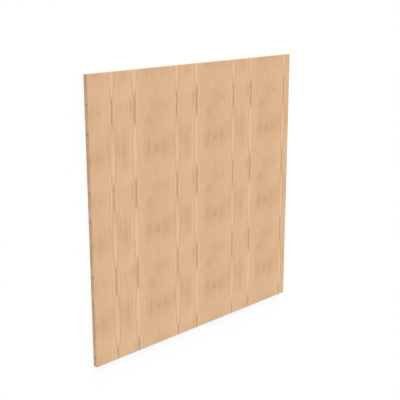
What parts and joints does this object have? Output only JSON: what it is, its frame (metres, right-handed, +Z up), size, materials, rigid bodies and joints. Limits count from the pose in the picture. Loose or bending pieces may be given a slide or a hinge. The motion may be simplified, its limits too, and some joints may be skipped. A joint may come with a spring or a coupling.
{
  "type": "plywood sheet",
  "caption": "Flat square sheet of birch plywood with sanded faces, sawn edges and lightly eased arrises, for lining, flooring, shelving and joinery.",
  "frame": {"origin": "middle of the underside of the sheet", "axes": "+Z up through the thickness to the good face, +Y along the face grain (up in the picture), +X across the face grain (right in the picture)"},
  "size_m": [1.25, 1.25, 0.021],
  "materials": {
    "birch_plywood": "sanded, unfinished birch veneer with a fine vertical grain, and sawn edges"
  },
  "bodies": {
    "root": {"plywood_sheet": "birch_plywood"}
  },
  "joints": []
}
